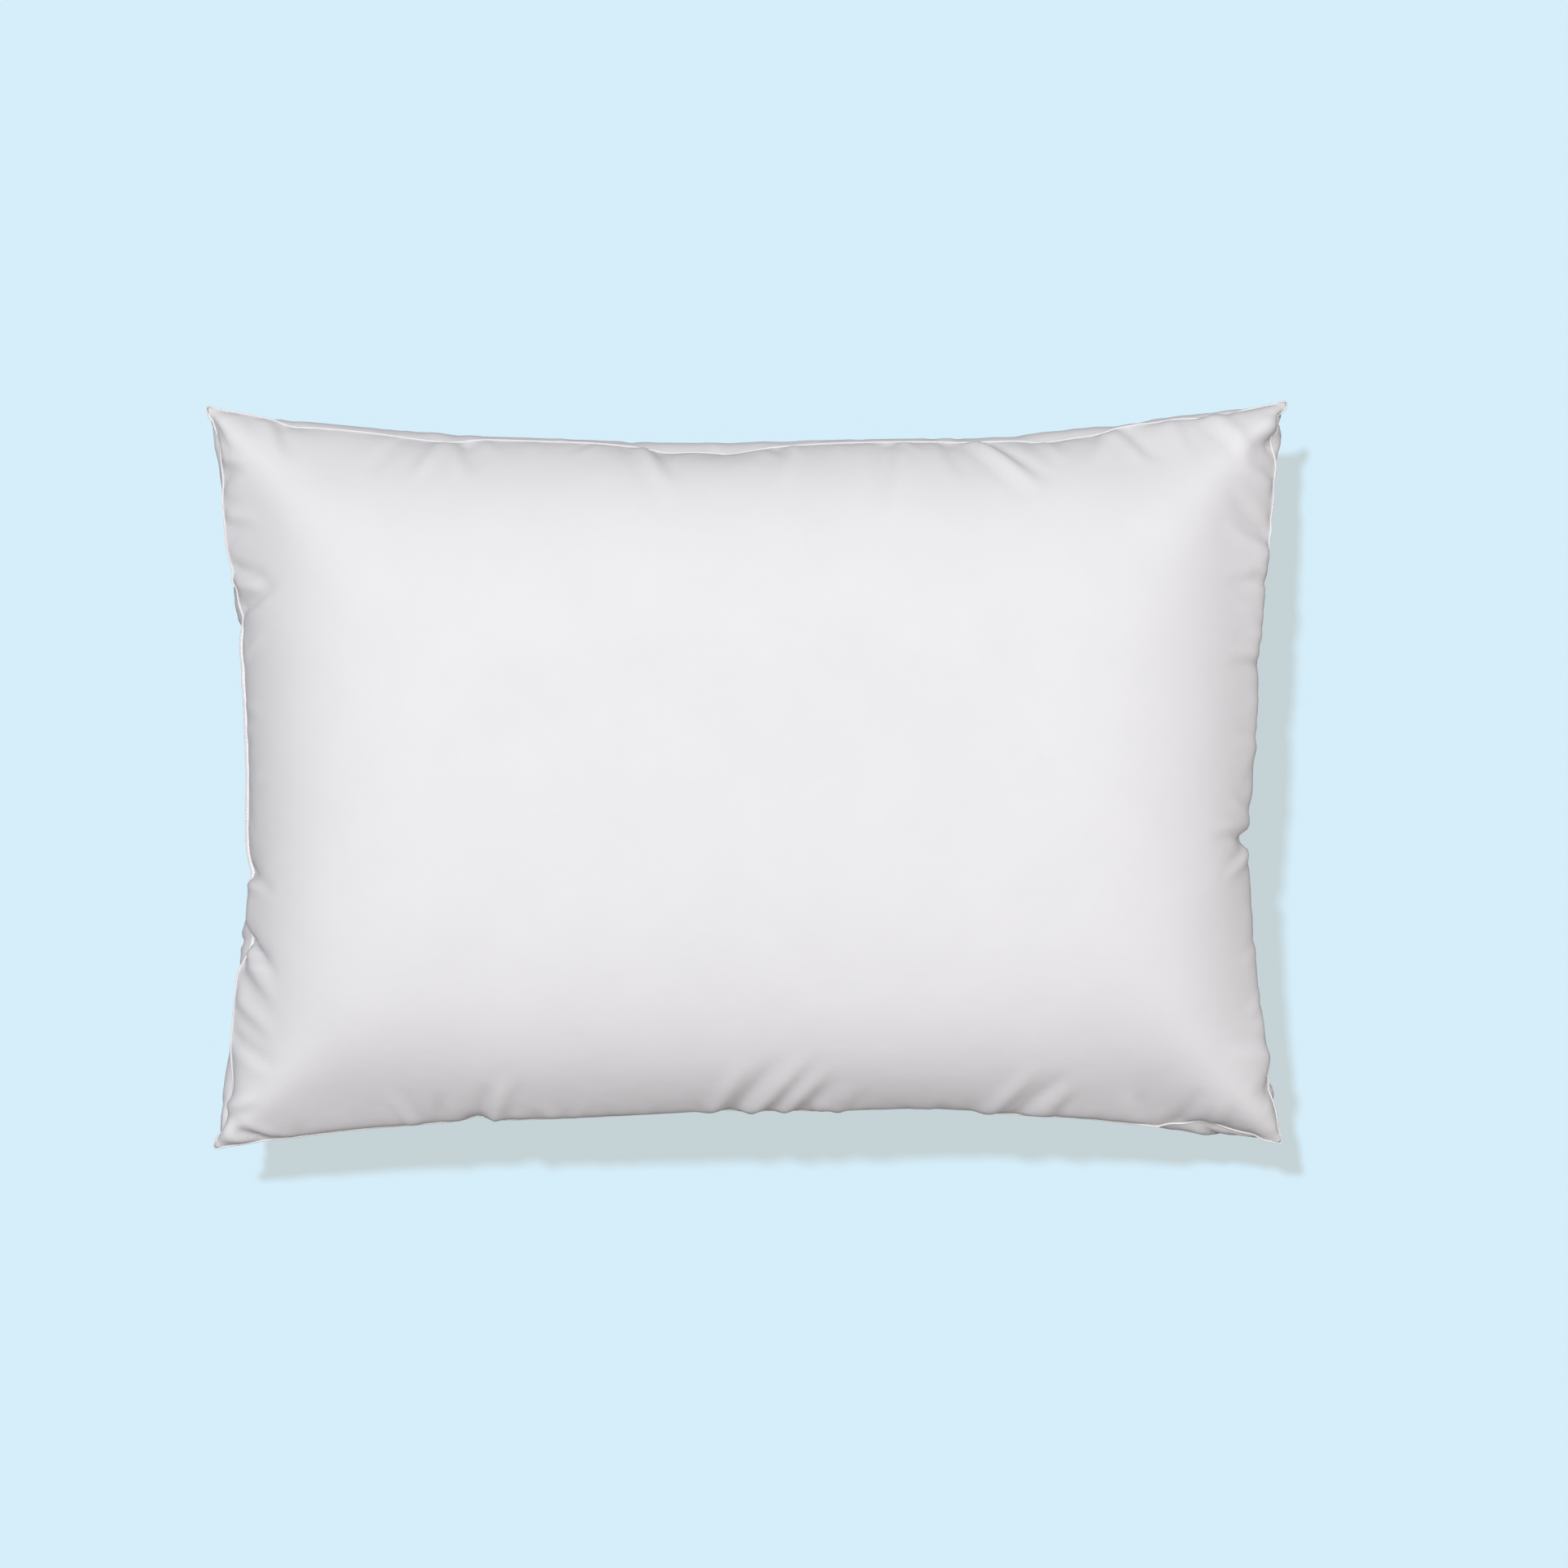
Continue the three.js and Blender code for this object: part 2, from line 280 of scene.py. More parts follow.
# The piping: its tape, how far that stands out, how much a stitch draws it in, and the cord inside.
# A girth is what the pattern of the cloth or the strands measures round a tube
TAPE_RADIUS = 0.00055
TAPE_PLY = 0.00025
TAPE_OUT = 0.0006
TAPE_GIRTH = 0.0066
STITCH_PINCH = 0.14
CORD_RADIUS = 0.00035
CORD_GIRTH = 0.0036
# The closing on the left side: its ends in Y, and the flat ribbon that the tape becomes there
CLOSING = (0.100, -0.117)
CLOSING_FADE = 0.008
RIBBON_HALF_WIDTH = 0.0012
RIBBON_HALF_DEPTH = 0.0006
RIBBON_OUT = 0.0004
CORD_THINNING = 0.7
# The stitch rows: a thread's size, its rise over the cloth, the rows' distances from the seam line
THREAD_RADIUS = 0.00025
THREAD_GIRTH = 0.0018
THREAD_RISE = 0.0008
SEAM_ROW_IN = 0.006
CLOSING_ROW_OUT = 0.0012
# Points nearer to the seam line than this share of a row's distance have crossed the next side, at a tip
CROSSING_SHARE = 0.7
# Corners of the tubes' sections
TAPE_SIDES = 10
CORD_SIDES = 6
# The care label, its place along the right-hand side, and how it lifts and curls away from the casing
LABEL_SIZE = (0.036, 0.048)
LABEL_POINTS = (19, 25)
LABEL_Y = 0.128
LABEL_PLY = 0.0004
LABEL_LIFT = 0.0008
LABEL_CURL = 0.0022
LABEL_WAVE = 0.0012
LABEL_RIPPLE = (150, 40)

# The picture
CAMERA_AT = (0.023, -0.0056, 2.478)
CAMERA_ROLL = -0.3
CAMERA_LENS = 85.07
FLOOR_HALF = 6.0
KEY_DIRECTION = (0.320, -0.40, -0.84)


# ---- the seam line

def side_path(name):
    """Points along one side of the seam in plan, and how far along the cloth each one is, from 0 to 1."""
    first, second, _ = SIDES[name]
    start, end = np.array(TIPS[first]), np.array(TIPS[second])
    t = np.linspace(0, 1, SIDE_STEPS)
    chord = np.linalg.norm(end - start)
    along = (end - start) / chord
    inward = np.array([-along[1], along[0]])
    ends = np.clip(np.minimum(t, 1 - t) / TAPE_FADE, 0, 1)
    lower_shown = LEAN_STRENGTH * eased(t, LEAN[name]) - LEAN_HIDDEN
    upper_shown = eased(t, OVERHANG[name]) - OVERHANG_HIDDEN
    shown = np.maximum(np.maximum(lower_shown, upper_shown), TAPE_SHOWN)
    depth = flowing(t, OUTLINE[name], OUTLINE_BLEND) + shown * ends
    gather = np.zeros_like(t)
    for place, deep, half, share in PUCKERS[name]:
        r = (t * chord - place) / half
        depth += deep * np.exp(-np.abs(r) ** PUCKER_POWER)
        gather += share / half * np.exp(-((r / GATHER_WIDTH) ** 2))
    points = start + t[:, None] * (end - start) + depth[:, None] * inward
    steps = np.linalg.norm(np.diff(points, axis=0), axis=1)
    arc = running(steps)
    gathered = running((gather[1:] + gather[:-1]) / 2 * steps)
    spare = max(cloth_size(name)[0] - arc[-1], 0)
    cloth = arc + spare * ((1 - GATHERED) * arc / arc[-1] + GATHERED * gathered / gathered[-1])
    return points, cloth / cloth[-1]


def running(steps):
    """The running total of some steps, from 0."""
    return np.concatenate([[0], np.cumsum(steps)])


def eased(at, knots):
    """Values between knots, easing in and out of each."""
    places, values = (np.array(column, float) for column in zip(*knots))
    left = np.clip(np.searchsorted(places, at, side="right") - 1, 0, len(places) - 2)
    share = np.clip((at - places[left]) / (places[left + 1] - places[left]), 0, 1)
    return values[left] + (values[left + 1] - values[left]) * share * share * (3 - 2 * share)


def flowing(at, knots, spread):
    """Straight lines between knots, rounded off over this many points; zero at both ends."""
    places, values = zip(*knots)
    return smoothed(np.interp(at, places, values), spread)


def side_points(name, cells):
    """The seam along one side, at equal steps of cloth, as an array of 3 rows."""
    points, cloth = side_path(name)
    at = np.linspace(0, 1, cells + 1)
    rise = (SIDES[name][2] - TIP_HEIGHT) * np.sin(np.pi * at).clip(0) ** RISE_POWER
    return np.stack([
        np.interp(at, cloth, points[:, 0]),
        np.interp(at, cloth, points[:, 1]),
        TIP_HEIGHT + rise,
    ])


def seam_frame(nx, ny):
    """A grid whose outer rows hold the seam; the rest of it is zero."""
    grid = np.zeros((3, nx + 1, ny + 1), np.float32)
    grid[:, :, 0] = side_points("front", nx)
    grid[:, -1, :] = side_points("right", ny)
    grid[:, :, -1] = side_points("back", nx)[:, ::-1]
    grid[:, 0, :] = side_points("left", ny)[:, ::-1]
    return grid


# ---- the cloth simulation

def sew(cloth, seam):
    """Puts both panels' edges back on the seam."""
    for panel in (0, 1):
        cloth[:, panel, 0, :] = seam[:, 0, :]
        cloth[:, panel, -1, :] = seam[:, -1, :]
        cloth[:, panel, :, 0] = seam[:, :, 0]
        cloth[:, panel, :, -1] = seam[:, :, -1]


def pull(a, b, length, stretched, squeezed):
    """Moves two sets of points towards being a length apart, in place, with its own stiffness each way."""
    gap = b - a
    size = np.sqrt(gap[0] * gap[0] + gap[1] * gap[1] + gap[2] * gap[2]) + np.float32(1e-9)
    share = np.float32(0.5) - np.float32(0.5 * length) / size
    share *= np.where(share > 0, np.float32(stretched), np.float32(squeezed))
    gap *= share
    a += gap
    b -= gap


def pairs(cloth, axis, gap, phase):
    """Points a number of cells apart along one axis: every second pair, from a phase."""
    rows = np.moveaxis(cloth, axis, -1)
    first = rows[..., phase:rows.shape[-1] - gap:2 * gap]
    second = rows[..., phase + gap::2 * gap]
    count = min(first.shape[-1], second.shape[-1])
    return first[..., :count], second[..., :count]


def diagonals(cloth, phase):
    """Both diagonals of every second column of cells."""
    left = cloth[:, :, phase:-1:2]
    right = cloth[:, :, phase + 1::2]
    count = min(left.shape[2], right.shape[2])
    left, right = left[:, :, :count], right[:, :, :count]
    yield left[..., :-1], right[..., 1:]
    yield left[..., 1:], right[..., :-1]


def relax(cloth, seam, cell, steps, room, pressure):
    """Lets the panels settle under the filling's pressure, which fades as they near the room it fills."""
    speed = np.zeros_like(cloth)
    for _ in range(steps):
        thick = cloth[:, 0] - cloth[:, 1]
        push = pressure * np.clip(1 - (thick * thick).sum(0) / room ** 2, 0, 1)
        before = cloth.copy()
        cloth += np.float32(DAMPING) * speed + normals(cloth) * push.astype(np.float32)
        for _ in range(SWEEPS):
            for axis in (0, 1):
                for phase in (0, 1):
                    pull(*pairs(cloth, 2 + axis, 1, phase), cell[axis], 1, SQUEEZE)
            for phase in (0, 1):
                for a, b in diagonals(cloth, phase):
                    pull(a, b, math.hypot(*cell), SHEAR, SHEAR)
            for axis in (0, 1):
                for phase in range(4):
                    pull(*pairs(cloth, 2 + axis, 2, phase), 2 * cell[axis], 0, BEND)
            sew(cloth, seam)
        np.maximum(cloth[2], 0, out=cloth[2])
        speed = cloth - before


def normals(cloth):
    """Outward normals of both panels."""
    out = np.cross(np.gradient(cloth, axis=2), np.gradient(cloth, axis=3), axis=0)
    out /= np.sqrt((out * out).sum(0)) + np.float32(1e-12)
    out[:, 1] *= -1
    return out


def finer(cloth):
    """The same panels with every cell split in four."""
    for axis in (2, 3):
        rows = np.moveaxis(cloth, axis, 0)
        split = np.empty((2 * rows.shape[0] - 1,) + rows.shape[1:], rows.dtype)
        split[::2] = rows
        split[1::2] = (rows[1:] + rows[:-1]) / 2
        cloth = np.moveaxis(split, 0, axis)
    return cloth.copy()


def crown(nx, ny):
    """A dome over the cloth, 1 in the middle and 0 along the seam, full into the corners."""
    from_ends = (1 - np.abs(np.linspace(-1, 1, nx + 1))[:, None]) * CLOTH_LENGTH / 2 + 1e-6
    from_sides = (1 - np.abs(np.linspace(-1, 1, ny + 1))[None, :]) * CLOTH_WIDTH / 2 + 1e-6
    inside = (from_ends ** -CORNER_BLEND + from_sides ** -CORNER_BLEND) ** (-1 / CORNER_BLEND)
    return (1 - (1 - inside * 2 / CLOTH_WIDTH) ** CROWN_SQUARENESS) ** CROWN_FULLNESS


def spanned(grid):
    """A smooth sheet between the outer rows of a grid."""
    u = np.linspace(0, 1, grid.shape[1])[None, :, None]
    v = np.linspace(0, 1, grid.shape[2])[None, None, :]
    left, right = grid[:, :1, :], grid[:, -1:, :]
    front, back = grid[:, :, :1], grid[:, :, -1:]
    corners = (1 - u) * ((1 - v) * grid[:, :1, :1] + v * grid[:, :1, -1:])
    corners = corners + u * ((1 - v) * grid[:, -1:, :1] + v * grid[:, -1:, -1:])
    return (1 - u) * left + u * right + (1 - v) * front + v * back - corners


def fill_casing():
    """The two panels as a grid of points: axes xyz, top or bottom, along X, along Y."""
    random = np.random.default_rng(SEED)
    nx, ny = COARSE_CELLS
    seam = seam_frame(nx, ny)
    sheet = spanned(seam)
    cloth = np.stack([sheet, sheet], 1).astype(np.float32)
    dome = crown(nx, ny)
    cloth[2, 0] += 0.5 * (LOFT - BELLY) * dome
    cloth[2, 1] -= 0.5 * BELLY * dome
    cloth += random.normal(0, START_ROUGHNESS, cloth.shape).astype(np.float32)
    sew(cloth, seam)
    for level, steps in enumerate(STEPS):
        if level:
            cloth = finer(cloth)
            nx, ny = 2 * nx, 2 * ny
            seam = seam_frame(nx, ny)
            rough = ROUGHENING * 0.5 ** level
            cloth += random.normal(0, rough, cloth.shape).astype(np.float32)
            sew(cloth, seam)
        room = LOFT * crown(nx, ny) + SEAM_ROOM
        cell = (CLOTH_LENGTH / nx, CLOTH_WIDTH / ny)
        relax(cloth, seam, cell, steps, room, PRESSURE * 0.5 ** level)
    return cloth


# ---- shaping after the simulation

def from_side(grid, name):
    """A view of a grid with its rows counted inwards from one side: axes xyz, inwards, along."""
    rows = grid if name in ("left", "right") else grid.transpose(0, 2, 1)
    return rows if name in ("left", "front") else rows[:, ::-1]


def inwards(name):
    """The axis across one side, and the direction of its inside."""
    return (0 if name in ("left", "right") else 1), (1 if name in ("left", "front") else -1)


def cloth_size(name):
    """The flat cloth's length along one side, and across from that side to the opposite one."""
    size = (CLOTH_LENGTH, CLOTH_WIDTH)
    return size if name in ("front", "back") else size[::-1]


def distances(rows, name):
    """Metres of cloth from one side, for each row, and from the nearer of its neighbours, for each column."""
    breadth, depth = cloth_size(name)
    own = np.linspace(0, depth, rows.shape[1])
    other = np.linspace(0, breadth, rows.shape[2])
    return own, np.minimum(other, breadth - other)


def wanted_profile(away):
    """How far in and how far up a full panel has come, at these distances of cloth from the seam."""
    fine = np.linspace(0, away[-1], PROFILE_STEPS)
    slope = math.radians(SEAM_SLOPE) * np.exp(-((fine / SLOPE_REACH) ** SLOPE_POWER))
    middle = (slope[1:] + slope[:-1]) / 2
    inward = running(np.cos(middle)) * fine[1]
    upward = running(np.sin(middle)) * fine[1]
    return np.interp(away, fine, inward), np.interp(away, fine, upward)


def smoothed(values, spread=3):
    """A row of values that starts at zero, smoothed by a bell curve this many points wide."""
    reach = 4 * spread
    before = -values[reach:0:-1]
    after = 2 * values[-1] - values[-2:-reach - 2:-1]
    weights = np.exp(-0.5 * (np.arange(-reach, reach + 1) / spread) ** 2)
    return np.convolve(np.concatenate([before, values, after]), weights / weights.sum(), "valid")


def crown_top(cloth):
    """Moves the top panel to the profile of a full pillow, side by side. The simulation's folds stay."""
    top = cloth[:, 0]
    move = np.zeros_like(top)
    for name in SIDES:
        rows = from_side(top, name)
        axis, sign = inwards(name)
        own, other = distances(rows, name)
        quarter = rows.shape[2] // 4
        middle = rows[:, :, quarter:-quarter]
        inward = smoothed((sign * (middle[axis] - middle[axis, 0])).mean(1))
        upward = smoothed((middle[2] - middle[2, 0]).mean(1))
        wanted_in, wanted_up = wanted_profile(own)
        fade = 0.5 + 0.5 * np.cos(np.pi * np.clip(own / CROWN_REACH - 1, 0, 1))
        share = other[None, :] ** CORNER_BLEND
        share = share / (share + own[:, None] ** CORNER_BLEND + 1e-12)
        share *= TIP_SHARE + (1 - TIP_SHARE) * eased(other, [(0, 0), (TIP_REACH, 1)])
        out = from_side(move, name)
        out[axis] += sign * (fade * (wanted_in - inward))[:, None] * share
        out[2] += (fade * (wanted_up - upward))[:, None] * share
    top += move


def leaning(far):
    """How far out a leaning panel stands, by distance in reaches: furthest at 1, and back in at 3."""
    return np.where(far < 1, np.sin(far * np.pi / 2), 0.5 + 0.5 * np.cos((far.clip(1, 3) - 1) * np.pi / 2))


def bulging(far):
    """How far out a bulging panel stands, by distance in reaches: fast out to 1, and slowly back in."""
    return far * np.exp(1 - far)


def lean_out(panel, amounts, strength, reach, shape):
    """Lets a panel stand out past the seam, as the filling pushes it sideways."""
    for name in SIDES:
        rows = from_side(panel, name)
        axis, sign = inwards(name)
        own, _ = distances(rows, name)
        _, at = side_path(name)
        share = np.interp(np.linspace(0, 1, rows.shape[2]), at, np.linspace(0, 1, len(at)))
        amount = strength * eased(share, amounts[name])
        if name in ("back", "left"):
            amount = amount[::-1]
        rows[axis] -= (sign * shape(own / reach)[:, None] * amount).astype(np.float32)


def fold(away, along, place, tilt, length, width, height):
    """One soft fold running in from the seam: a ridge, with a shallow trough beside it, that fades out."""
    turn = math.radians(tilt)
    down_it = away * math.cos(turn) + (along - place) * math.sin(turn)
    across = ((along - place) * math.cos(turn) - away * math.sin(turn)) / width
    ridge = np.exp(-across ** 2) - TROUGH_SHARE * np.exp(-(across - TROUGH_PLACE) ** 2)
    fade = np.clip(1 - (down_it / length) ** 2, 0, 1)
    return height * ridge * fade * fade * (3 - 2 * fade) * np.clip(away / FOLD_START, 0, 1)


def crease_list(random):
    """Small creases at random places: side, and the numbers of a fold."""
    names = list(SIDES)
    lengths = {name: cloth_size(name)[0] for name in names}
    weights = np.array([lengths[name] for name in names])
    for name in random.choice(names, CREASES, p=weights / weights.sum()):
        place = random.uniform(CREASE_MARGIN, lengths[name] - CREASE_MARGIN)
        tilt = random.uniform(-CREASE_TILT, CREASE_TILT)
        height = random.uniform(*CREASE_HEIGHT) * random.choice([-1, 1])
        yield name, place, tilt, random.uniform(*CREASE_LENGTH), random.uniform(*CREASE_WIDTH), height


def fold_cloth(cloth):
    """Lays the soft folds and the small creases on both panels; the listed ones are on the top."""
    random = np.random.default_rng(SEED + 1)
    facing = normals(cloth)
    for panel in (0, 1):
        lift = np.zeros_like(cloth[0, panel])
        folds = list(crease_list(random))
        if panel == 0:
            for name in FOLDS:
                for place, tilt, length, width, height in FOLDS[name]:
                    folds.append((name, place, tilt, FOLD_REACH * length, width, FOLD_DEPTH * height))
        for name, *numbers in folds:
            rows = from_side(lift[None], name)[0]
            breadth, depth = cloth_size(name)
            reach = rows.shape[0] // 3
            away = np.linspace(0, depth, rows.shape[0])[:reach, None]
            along = np.linspace(0, breadth, rows.shape[1])[None, :]
            if name in ("back", "left"):
                along = breadth - along
            rows[:reach] += fold(away, along, *numbers)
        cloth[:, panel] += facing[:, panel] * lift


def calm_tips(cloth):
    """Lays the few cells nearest each tip smoothly between the seam and the cloth around them."""
    near, far = slice(0, TIP_CELLS + 1), slice(-TIP_CELLS - 1, None)
    for panel in (0, 1):
        for along_x in (near, far):
            for along_y in (near, far):
                cloth[:, panel, along_x, along_y] = spanned(cloth[:, panel, along_x, along_y].copy())


def shape_casing(cloth):
    """The simulated casing with its crown, its lean and its folds."""
    crown_top(cloth)
    lean_out(cloth[:, 0], OVERHANG, 1, OVERHANG_REACH, bulging)
    lean_out(cloth[:, 1], LEAN, LEAN_STRENGTH, LEAN_REACH, leaning)
    fold_cloth(cloth)
    calm_tips(cloth)
    np.maximum(cloth[2], 0, out=cloth[2])
    return cloth


# ---- meshes

def add_mesh(name, points, quads, material, cloth=None, sharp=None, caps=()):
    """A smooth-shaded mesh object, with cloth coordinates, sharp points and end caps where it has them."""
    mesh = bpy.data.meshes.new(name)
    faces = np.asarray(quads, int).tolist() + [cap.tolist() for cap in caps]
    mesh.from_pydata(np.asarray(points, float).tolist(), [], faces)
    mesh.shade_smooth()
    if cloth is not None:
        attribute = mesh.attributes.new("cloth", "FLOAT_VECTOR", "POINT")
        attribute.data.foreach_set("vector", np.asarray(cloth, np.float32).ravel())
    if sharp is not None:
        ends = np.zeros(2 * len(mesh.edges), int)
        mesh.edges.foreach_get("vertices", ends)
        flags = sharp[ends].reshape(-1, 2).all(1)
        mesh.attributes.new("sharp_edge", "BOOLEAN", "EDGE").data.foreach_set("value", flags)
    mesh.materials.append(material)
    piece = bpy.data.objects.new(name, mesh)
    bpy.context.scene.collection.objects.link(piece)
    return piece


def stand_for(piece, node):
    """The piece takes the CAD node's place."""
    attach(piece, "root")
    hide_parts(node)


def grid_faces(rows, columns, first=0, flip=False):
    """Quads over a grid of points numbered row by row."""
    index = first + np.arange(rows * columns).reshape(rows, columns)
    corners = [index[:-1, :-1], index[1:, :-1], index[1:, 1:], index[:-1, 1:]]
    quads = np.stack(corners, -1).reshape(-1, 4)
    return quads[:, ::-1] if flip else quads


def border(rows, columns):
    """Point numbers round the edge of a grid, counter-clockwise and not repeated."""
    index = np.arange(rows * columns).reshape(rows, columns)
    return np.concatenate([index[:-1, 0], index[-1, :-1], index[:0:-1, -1], index[0, :0:-1]])


def band(lower, upper, flip=False):
    """Quads between two closed loops of points."""
    quads = np.stack([lower, np.roll(lower, -1), np.roll(upper, -1), upper], -1)
    return quads[:, ::-1] if flip else quads


def swept(path, out, sections):
    """A closed tube: each section is a ring of (out, up) offsets from its point of the closed path."""
    rings = path[:, None] + sections[..., :1] * out[:, None] + sections[..., 1:] * UP
    count, sides = sections.shape[:2]
    index = np.arange(count * sides).reshape(count, sides)
    after = np.roll(index, -1, 0)
    quads = np.stack([index, after, np.roll(after, -1, 1), np.roll(index, -1, 1)], -1)
    return rings.reshape(-1, 3), quads.reshape(-1, 4)


# ---- materials

class Nodes:
    """A material's node tree, built by name."""

    def __init__(self, name):
        self.material = bpy.data.materials.new(name)
        self.material.use_nodes = True
        self.tree = self.material.node_tree
        self.shader = self.tree.nodes["Principled BSDF"]

    def fill(self, node, inputs):
        """Links the inputs that come from other nodes and sets the rest."""
        for key, value in inputs.items():
            if isinstance(value, bpy.types.NodeSocket):
                self.tree.links.new(value, node.inputs[key])
            else:
                node.inputs[key].default_value = value

    def add(self, kind, inputs, **settings):
        node = self.tree.nodes.new("ShaderNode" + kind)
        for key, value in settings.items():
            setattr(node, key, value)
        self.fill(node, inputs)
        return node

    def shade(self, **inputs):
        self.fill(self.shader, {key.replace("_", " "): value for key, value in inputs.items()})

    def coordinates(self):
        """Places on the flat cloth, which the meshes carry."""
        return self.add("Attribute", {}, attribute_name="cloth").outputs["Vector"]

    def ramp(self, factor, low, high):
        """From one colour to another, each given with its place."""
        node = self.add("ValToRGB", {"Fac": factor})
        for element, (place, colour) in zip(node.color_ramp.elements, (low, high)):
            element.position = place
            element.color = (*colour, 1)
        return node.outputs["Color"]

    def noise(self, vector, scale, detail=2.0, roughness=0.5):
        inputs = {"Vector": vector, "Scale": scale, "Detail": detail, "Roughness": roughness}
        return self.add("TexNoise", inputs).outputs["Fac"]

    def bands(self, vector, pitch, direction):
        """Threads side by side across one direction of the cloth."""
        inputs = {"Vector": vector, "Scale": 2 * math.pi / (20 * pitch), "Distortion": 0.0}
        return self.add("TexWave", inputs, bands_direction=direction).outputs["Fac"]

    def scaled(self, vector, scale):
        return self.add("Mapping", {"Vector": vector, "Scale": scale}).outputs["Vector"]

    def calculate(self, operation, first, second):
        return self.add("Math", {0: first, 1: second}, operation=operation).outputs[0]

    def bump(self, height, distance, strength=1.0, before=None):
        inputs = {"Height": height, "Distance": distance, "Strength": strength}
        if before is not None:
            inputs["Normal"] = before
        return self.add("Bump", inputs).outputs["Normal"]


def cotton(name, light, dark, pitch, roughness, sheen):
    """Plain-woven cotton: fine crossing threads, thicker slubs both ways, and faint unevenness of tone."""
    nodes = Nodes(name)
    flat = nodes.coordinates()
    warp = nodes.bands(flat, pitch, "X")
    weft = nodes.bands(flat, pitch, "Y")
    weave = nodes.calculate("MULTIPLY", warp, weft)
    warp_slubs = nodes.noise(nodes.scaled(flat, (900, 25, 1)), 1.0)
    weft_slubs = nodes.noise(nodes.scaled(flat, (25, 900, 1)), 1.0)
    slubs = nodes.calculate("ADD", warp_slubs, weft_slubs)
    crumple = nodes.noise(flat, 55.0, 3.0, 0.55)
    tone = nodes.noise(flat, 18.0, 4.0, 0.6)
    broad = nodes.calculate("MULTIPLY", tone, 0.75)
    fine = nodes.calculate("MULTIPLY", slubs, 0.125)
    shade = nodes.calculate("ADD", broad, fine)
    colour = nodes.ramp(shade, (0.3, dark), (0.62, light))
    spread = {"From Min": 0.7, "From Max": 1.3, "To Min": roughness - 0.05, "To Max": roughness + 0.05}
    rough = nodes.add("MapRange", {"Value": slubs, **spread}).outputs["Result"]
    normal = nodes.bump(crumple, 0.0006, 0.5)
    normal = nodes.bump(slubs, 0.00004, 0.5, normal)
    normal = nodes.bump(weave, 0.00003, 0.6, normal)
    nodes.shade(Base_Color=colour, Roughness=rough, Normal=normal)
    nodes.shade(Sheen_Weight=sheen, Sheen_Roughness=0.4, Specular_IOR_Level=0.25)
    return nodes.material


def down(name):
    """Down clusters pressed together: soft tufts, pale, with warm grey shade painted between them."""
    nodes = Nodes(name)
    place = nodes.add("TexCoord", {}).outputs["Object"]
    cells = nodes.add("TexVoronoi", {"Vector": place, "Scale": 70.0, "Randomness": 1.0})
    tufts = cells.outputs["Distance"]
    barbs = nodes.noise(place, 420.0, 4.0, 0.7)
    height = nodes.calculate("SUBTRACT", nodes.calculate("MULTIPLY", barbs, 0.6), tufts)
    # Painted shade: darker away from each tuft's middle, in the hollows between the tufts
    colour = nodes.ramp(tufts, (0.1, (0.90, 0.88, 0.84)), (0.7, (0.70, 0.67, 0.62)))
    nodes.shade(Base_Color=colour, Roughness=0.95, Normal=nodes.bump(height, 0.002, 0.7))
    nodes.shade(Sheen_Weight=0.4, Specular_IOR_Level=0.1)
    return nodes.material


def twisted(name, colour, dark, pitch):
    """Thread or cord: strands laid at a slant, with a slight fuzz, and painted shade in the grooves between
    the strands.
    """
    nodes = Nodes(name)
    flat = nodes.coordinates()
    strands = nodes.bands(flat, pitch, "DIAGONAL")
    fuzz = nodes.noise(nodes.scaled(flat, (3000, 1200, 1)), 1.0, 3.0)
    # Partly painted shade: the colour follows the strands' bump and is darker in the grooves between them;
    # the fuzz adds uneven tone
    tone = nodes.calculate("MULTIPLY", strands, fuzz)
    nodes.shade(Base_Color=nodes.ramp(tone, (0.1, dark), (0.6, colour)), Roughness=0.6)
    nodes.shade(Normal=nodes.bump(strands, 0.00008, 0.7), Sheen_Weight=0.2)
    return nodes.material


def satin(name):
    """The label's woven satin tape: long floats across it and a soft shine."""
    nodes = Nodes(name)
    flat = nodes.coordinates()
    floats = nodes.bands(flat, 0.0003, "Y")
    uneven = nodes.noise(nodes.scaled(flat, (60, 1500, 1)), 1.0)
    colour = nodes.ramp(uneven, (0.2, (0.80, 0.80, 0.80)), (0.8, (0.88, 0.88, 0.87)))
    nodes.shade(Base_Color=colour, Normal=nodes.bump(floats, 0.00003, 0.6))
    nodes.shade(Roughness=0.42, Anisotropic=0.4, Sheen_Weight=0.1)
    return nodes.material


# ---- the pieces

def flat_grid(nx, ny):
    """The flat cloth's coordinates at each point of the grid."""
    x = np.linspace(-0.5, 0.5, nx + 1) * CLOTH_LENGTH
    y = np.linspace(-0.5, 0.5, ny + 1) * CLOTH_WIDTH
    x, y = np.meshgrid(x, y, indexing="ij")
    return np.stack([x, y, np.zeros_like(x)], -1).reshape(-1, 3)


def towards_middle(loop):
    """Plan directions from each point of a loop towards its middle, of about unit length."""
    towards = loop.mean(0)[:2] - loop[:, :2]
    return towards / np.abs(towards).max(1, keepdims=True)


